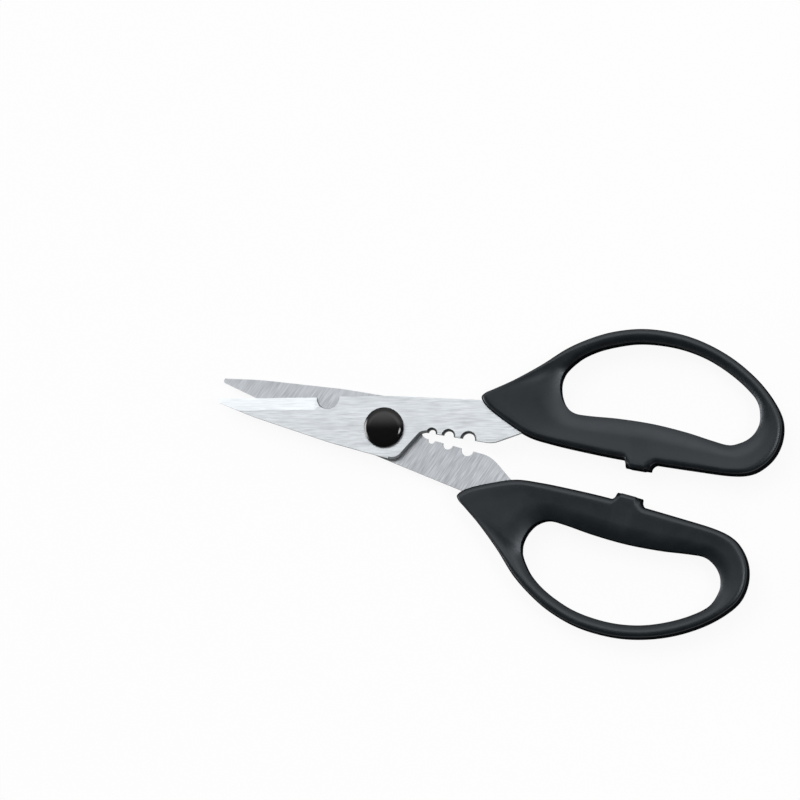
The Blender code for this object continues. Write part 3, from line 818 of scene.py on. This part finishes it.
def blade_mesh(blade, handle, rise, stalk_notch):
    points, chamfered = rounded_outline(blade_corners(blade, handle, rise))
    blank = plate("blade_blank", points, chamfered, blade.chamfer)
    tools = [pivot_tool(blade), bevel_tool(blade, rise)]
    for x_share, radius_share in STRIP_NOTCH_SHARES:
        x = blade.shoulder_x + x_share * (handle.nose_x - blade.shoulder_x)
        radius = radius_share * blade.strip_radius
        tools.append(notch_tool(x, rise + blade.land_height, radius, blade.strip_chamfer))
    if stalk_notch:
        y = cutting_edge(blade, -blade.stalk_x, rise) - blade.stalk_drop
        shape = blade.stalk_radius, blade.stalk_chamfer, blade.stalk_flare
        tools.append(notch_tool(-blade.stalk_x, y, *shape))
    return cut(blank, tools)


def smooth_curve(points):
    """Dense points of a closed curve that runs smoothly through the given ones."""
    curve = []
    for span in range(len(points)):
        a, b, c, d = (points[(span + offset) % len(points)] for offset in (-1, 0, 1, 2))
        for step in range(CURVE_STEPS):
            share = step / CURVE_STEPS
            curve.append(
                b
                + (c - a) * (share / 2)
                + (2 * a - 5 * b + 4 * c - d) * (share ** 2 / 2)
                + (3 * b - a - 3 * c + d) * (share ** 3 / 2)
            )
    return curve


def stop_share(x, start, end, fore_flank, rear_flank):
    """Share of its full depth that the stop, with hollow flanks, has at a place along the grip."""
    beside = 1 - max((start - x) / fore_flank, (x - end) / rear_flank, 0)
    return 1 - math.sqrt(1 - max(beside, 0) ** 2)


def stop_depth(handle, point):
    """How far the closing stop comes down below the grip at a point of the outline."""
    if point.y > handle.grip_depth / 2:
        return 0.0
    return point.y - CLOSED_GAP / 2


def rim_drop(handle, point):
    """How far the outline goes down with the stop."""
    x = point.x - handle.nose_x
    flanks = handle.stop_fore_flank, handle.stop_rear_flank
    return stop_depth(handle, point) * stop_share(x, handle.stop_start, handle.stop_end, *flanks)


def ridge_drop(handle, point, edge):
    """How far the ridge goes down with the stop: further than the rim, between wider flanks."""
    depth = stop_depth(handle, point)
    if depth == 0:
        return 0.0
    x = point.x - handle.nose_x
    start = handle.stop_start + handle.ridge_fore_inset
    end = handle.stop_end - handle.ridge_rear_inset
    flanks = handle.ridge_fore_flank, handle.ridge_rear_flank
    return (depth + edge - handle.stop_edge) * stop_share(x, start, end, *flanks)


def handle_curves(handle):
    """Dense matching points: the outline without its stop, and the finger hole."""
    hole_x = handle.nose_x + handle.nose_length
    hole_length = handle.length - handle.nose_length - handle.end_wall
    hole_rise = handle.rise - handle.grip_depth - handle.arc_wall
    outer = []
    inner = []
    for x_share, y_share, hole_x_share, hole_y_share in LOOP_SHARES:
        outer.append(Vector((handle.nose_x + x_share * handle.length, y_share * handle.rise)))
        hole_y = handle.grip_depth + hole_y_share * hole_rise
        inner.append(Vector((hole_x + hole_x_share * hole_length, hole_y)))
    return smooth_curve(outer), smooth_curve(inner)


def spread_stations(outline):
    """Places of the stations along an outline, closer together where it turns."""
    total = 0.0
    reach = [0.0]
    for index, point in enumerate(outline):
        following = outline[(index + 1) % len(outline)]
        beyond = outline[(index + 2) % len(outline)]
        step = following - point
        total += step.length + TURN_REACH * step.angle(beyond - following, 0.0)
        reach.append(total)
    picked = []
    index = 0
    for station in range(STATIONS):
        target = total * station / STATIONS
        while reach[index + 1] <= target:
            index += 1
        picked.append((index, (target - reach[index]) / (reach[index + 1] - reach[index])))
    return picked


def between(points, index, share):
    return points[index].lerp(points[(index + 1) % len(points)], share)


def bend(start, corner, end, steps):
    """Points of a curve from start to end that is drawn towards a corner, without the start."""
    points = []
    for step in range(1, steps + 1):
        share = step / steps
        points.append(start.lerp(corner, share).lerp(corner.lerp(end, share), share))
    return points


def dished(handle, height, away, width):
    """Height of the flat side away from its ridge: it falls a little towards the finger hole."""
    slope = math.tan(handle.dish_slope) / (1 + (width / handle.dish_width) ** DISH_POWER)
    fall = slope * handle.dish_reach * math.tanh(away / handle.dish_reach)
    return height * (1 - fall / MID_HEIGHT)


def handle_section(handle, roll, ridge, rim, width):
    """Ring section from the finger hole outwards, as (distance, height) points, then back below.

    A wide roll rises from the hole to the flat side, which ends in a rounded ridge and a wall.
    """
    level = []
    for step in range(ROLL_STEPS):
        angle = handle.roll_start + (math.pi / 2 - handle.roll_start) * step / ROLL_STEPS
        distance = roll * (1 - math.cos(angle) / math.cos(handle.roll_start))
        level.append((distance, MID_HEIGHT * math.sin(angle)))
    flat = ridge - handle.ridge_round - roll
    for step in range(FLAT_STEPS + 1):
        level.append((roll + flat * step / FLAT_STEPS, MID_HEIGHT))
    upper = [Vector((x, dished(handle, height, ridge - x, width))) for x, height in level]
    corner = Vector((ridge, MID_HEIGHT))
    wall_corner = Vector((rim, MID_HEIGHT * handle.wall_bow))
    wall_start = corner + (wall_corner - corner).normalized() * handle.ridge_round
    upper += bend(upper[-1], corner, wall_start, RIDGE_STEPS)
    upper += bend(wall_start, wall_corner, Vector((rim, 0)), WALL_STEPS)
    lower = [Vector((point.x, -point.y)) for point in upper[-2::-1]]
    return upper + lower


def handle_mesh(handle):
    """Loop of sections that span from the finger hole to the outline."""
    outline, hole = handle_curves(handle)
    stopped = [point - Vector((0, rim_drop(handle, point))) for point in outline]
    vertices = []
    for index, share in spread_stations(stopped):
        plain = between(outline, index, share)
        bore = between(hole, index, share)
        across = plain - Vector((0, rim_drop(handle, plain))) - bore
        width = (plain - bore).length
        roll = handle.roll_width * math.tanh(handle.roll_share * width / handle.roll_width)
        edge = min(handle.edge_width, handle.edge_share * width)
        ridge = width - edge + ridge_drop(handle, plain, edge)
        for distance, height in handle_section(handle, roll, ridge, across.length, width):
            place = bore + across.normalized() * distance
            vertices.append((place.x, place.y, height))
    ring = len(vertices) // STATIONS
    faces = tube(STATIONS, ring)
    faces += band(range(len(vertices) - ring, len(vertices)), range(ring))
    return mesh_from("loop_handle", vertices, faces)


def sloping_arc(radius, height, width, slope, end_slope):
    """Profile of a round that falls outwards over a width, from one slope to another."""
    bow = width / (math.sin(end_slope) - math.sin(slope))
    points = []
    for step in range(RIM_STEPS + 1):
        angle = slope + (end_slope - slope) * step / RIM_STEPS
        points.append((
            radius + bow * (math.sin(angle) - math.sin(slope)),
            height - bow * (math.cos(slope) - math.cos(angle)),
        ))
    return points


def cap_mesh(settings):
    """Cap with a domed crown, a hollow for a head, and a plug that reaches into its bore."""
    radius = (CAP_HIGH.x - CAP_LOW.x) / 2
    bottom = CAP_LOW.z - MID_HEIGHT
    ceiling = MID_HEIGHT - settings.cap_wall
    hollow = radius - settings.cap_skirt
    foot = radius - settings.cap_edge
    crown = foot - settings.crown_edge
    profile = [
        (0, MID_HEIGHT),
        (0, ceiling - settings.plug_length),
        (settings.plug_radius, ceiling - settings.plug_length),
        (settings.plug_radius, ceiling),
        (hollow, ceiling),
        (hollow, bottom),
        (radius, bottom),
    ]
    dome_slope = math.atan(2 * settings.cap_dome / crown)
    crown_height = MID_HEIGHT - settings.cap_dome
    slopes = dome_slope, settings.crown_slope
    crown_round = sloping_arc(crown, crown_height, settings.crown_edge, *slopes)
    shoulder = crown_round[-1][1] - settings.crown_step
    slopes = settings.edge_rise, settings.edge_slope
    profile += sloping_arc(foot, shoulder, settings.cap_edge, *slopes)[::-1]
    profile += crown_round[::-1]
    for step in range(RIM_STEPS - 1, 0, -1):
        share = step / RIM_STEPS
        profile.append((crown * share, MID_HEIGHT - settings.cap_dome * share * share))
    return turned("pivot_cap", profile)


def break_edges(piece, width):
    """Takes the sharpness off all edges."""
    bevel = piece.modifiers.new("edge_break", "BEVEL")
    bevel.width = width
    bevel.segments = BREAK_SEGMENTS
    bevel.limit_method = "ANGLE"
    bevel.angle_limit = BROKEN_ANGLE
    bevel.harden_normals = True


class SCISSORS_OT_blades(Operator):
    """Make both ground steel blades"""

    bl_idname = "scissors.blades"
    bl_label = "Blades"

    def execute(self, context):
        blade, handle = context.scene.scissors_blade, context.scene.scissors_handle
        steel = ground_steel("front_ground_steel", blade.colour, blade.grinding, *FRONT_LINES)
        mesh = blade_mesh(blade, handle, blade.offset, True)
        front = place_piece(
            "front_ground_blade", mesh, "front_half", "front_blade", steel
        )
        break_edges(front, blade.edge_break)
        steel = ground_steel(
            "back_ground_steel", blade.back_colour, blade.back_grinding, *BACK_LINES
        )
        mesh = blade_mesh(blade, handle, -blade.offset, False)
        back = place_piece(
            "back_ground_blade", mesh, "back_half", "back_blade", steel
        )
        break_edges(back, blade.edge_break)
        return {"FINISHED"}


class SCISSORS_OT_handles(Operator):
    """Make both loop handles"""

    bl_idname = "scissors.handles"
    bl_label = "Loop handles"

    def execute(self, context):
        handle = context.scene.scissors_handle
        plastic = handle_plastic(handle)
        loop = handle_mesh(handle)
        front = loop.copy()
        front.transform(Matrix.Translation((handle.setback, 0, 0)))
        place_piece(
            "front_loop_handle", front, "front_half", "front_handle", plastic
        )
        place_piece(
            "back_loop_handle", loop, "back_half", "back_handle", plastic
        )
        return {"FINISHED"}


class SCISSORS_OT_pivot(Operator):
    """Make the caps, and finish the screw, nut and washers between them"""

    bl_idname = "scissors.pivot"
    bl_label = "Pivot and caps"

    def execute(self, context):
        settings = context.scene.scissors_pivot
        gloss = cap_plastic(settings)
        front, rear = cap_mesh(settings), cap_mesh(settings)
        place_piece("front_pivot_cap", front, "front_half", "front_cap", gloss)
        place_piece("rear_pivot_cap", rear, "back_half", "rear_cap", gloss)
        steel = turned_steel(settings)
        finishes = {
            "pivot_screw": steel,
            "pivot_nut": steel,
            "spring_washer": steel,
            "friction_washer": washer_plastic(settings),
        }
        for node, material in finishes.items():
            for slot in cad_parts[node].material_slots:
                slot.material = material
        return {"FINISHED"}


def floor_material(settings):
    """Matt and pale under the lamps, mostly plain white to the camera and in reflections."""
    material = bpy.data.materials.new("pale_floor")
    material.use_nodes = True
    material.node_tree.nodes.clear()
    finish = Finish(material.node_tree)
    seen = sum(
        finish.node("ShaderNodeLightPath", output=ray)
        for ray in ("Is Camera Ray", "Is Glossy Ray", "Is Transmission Ray")
    )
    matt = finish.node("ShaderNodeBsdfDiffuse", None, {"Color": rgba(settings.floor_colour)})
    glow = finish.node("ShaderNodeEmission", None, {"Strength": 1.0})
    finish.show({0: seen.clamped() * settings.floor_glow, 1: matt, 2: glow})
    return material


def floor_mesh(settings):
    """Round floor with an upturned rim."""
    flat = settings.floor_radius - settings.cove_height
    rim = sloping_arc(flat, 0, settings.cove_height, 0, math.pi / 2)
    profile = [(0, 0)] + [(radius, -height) for radius, height in rim]
    return turned("floor", profile, closed=False)


def picture_directions(settings):
    """The floor's directions that lead right and up in the picture."""
    right = Vector((math.cos(settings.turn), -math.sin(settings.turn), 0))
    return right, Vector((math.sin(settings.turn), math.cos(settings.turn), 0))


def add_world(settings):
    """A wide soft light over the back of the table, a low one at the left, and dim surroundings."""
    world = bpy.data.worlds.new("studio")
    bpy.context.scene.world = world
    world.use_nodes = True
    finish = Finish(world.node_tree)
    direction = finish.node("ShaderNodeTexCoord", output="Generated")
    right, back = picture_directions(settings)
    height = finish.along(direction, (0, 0, 1))
    overhead = finish.step(finish.along(direction, back), *BACK_RANGE)
    overhead = overhead * finish.step(height, *HORIZON_RANGE)
    overhead = overhead * (LOW_SHARE + (1 - LOW_SHARE) * finish.step(height, *HIGH_RANGE))
    left = finish.step(finish.along(direction, -right), *LEFT_RANGE)
    left = left * finish.step(height, *LEFT_RISE) * (1 - finish.step(height, *LEFT_FALL))
    strength = settings.low_light + overhead * settings.soft_light + left * settings.left_light
    finish.dress(world.node_tree.nodes["Background"], Strength=strength, Color=(1, 1, 1, 1))


def add_lamp(name, power, size, place, mirrored):
    """Round soft lamp that faces the pivot, and shows in reflections only if mirrored."""
    lamp = bpy.data.lights.new(name, "AREA")
    lamp.shape = "DISK"
    lamp.size = size
    lamp.energy = power
    made = add_object(name, lamp)
    facing = place.to_track_quat("Z", "Y").to_matrix().to_4x4()
    made.matrix_world = Matrix.Translation(place) @ facing
    made.visible_camera = False
    made.visible_glossy = mirrored


class SCISSORS_OT_stage(Operator):
    """Make the floor, the soft light and the camera"""

    bl_idname = "scissors.stage"
    bl_label = "Stage"

    def execute(self, context):
        settings = context.scene.scissors_stage
        floor = add_object("floor", floor_mesh(settings))
        floor.data.materials.append(floor_material(settings))
        floor.location.z = -FLOOR_GAP
        add_world(settings)
        across, up = picture_directions(settings)
        axes = Matrix((across, up, Vector((0, 0, 1)))).transposed()
        add_lamp("fill_lamp", settings.fill_power, FILL_SIZE, axes @ Vector(FILL_PLACE), False)
        add_lamp("side_lamp", settings.side_power, SIDE_SIZE, axes @ Vector(SIDE_PLACE), True)
        context.scene.view_settings.view_transform = "Standard"
        camera = add_object("camera", bpy.data.cameras.new("camera"))
        context.scene.camera = camera
        camera.data.lens = settings.lens
        camera.data.dof.use_dof = False
        back = Vector((
            math.sin(settings.tilt) * math.cos(settings.lean),
            math.sin(settings.tilt) * math.sin(settings.lean),
            math.cos(settings.tilt),
        ))
        right = up.cross(back).normalized()
        turn = Matrix((right, back.cross(right), back)).transposed()
        scale = camera.data.sensor_width / settings.lens * settings.distance
        x, y = settings.pivot_right * scale, settings.pivot_up * scale
        place = Vector((0, 0, MID_HEIGHT)) - turn @ Vector((x, y, -settings.distance))
        camera.matrix_world = Matrix.Translation(place) @ turn.to_4x4()
        camera.data.clip_end = VIEW_END
        return {"FINISHED"}


class SCISSORS_PT_build(Panel):
    """Lists the steps that build the scissors"""

    bl_idname = "SCISSORS_PT_build"
    bl_label = "Herb Scissors"
    bl_space_type = "VIEW_3D"
    bl_region_type = "UI"
    bl_category = "Herb Scissors"

    def draw(self, context):
        for name, group, step in STEPS:
            box = self.layout.box()
            box.operator(step.bl_idname)
            for setting in group.__annotations__:
                box.prop(getattr(context.scene, name), setting)


STEPS = (
    ("scissors_blade", BladeSettings, SCISSORS_OT_blades),
    ("scissors_handle", HandleSettings, SCISSORS_OT_handles),
    ("scissors_pivot", PivotSettings, SCISSORS_OT_pivot),
    ("scissors_stage", StageSettings, SCISSORS_OT_stage),
)


def register():
    for name, group, step in STEPS:
        bpy.utils.register_class(group)
        bpy.utils.register_class(step)
        setattr(bpy.types.Scene, name, PointerProperty(type=group))
    bpy.utils.register_class(SCISSORS_PT_build)


def unregister():
    bpy.utils.unregister_class(SCISSORS_PT_build)
    for name, group, step in STEPS:
        delattr(bpy.types.Scene, name)
        bpy.utils.unregister_class(step)
        bpy.utils.unregister_class(group)


def main():
    register()
    bpy.ops.scissors.blades()
    bpy.ops.scissors.handles()
    bpy.ops.scissors.pivot()
    bpy.ops.scissors.stage()


if __name__ == "__main__":
    main()
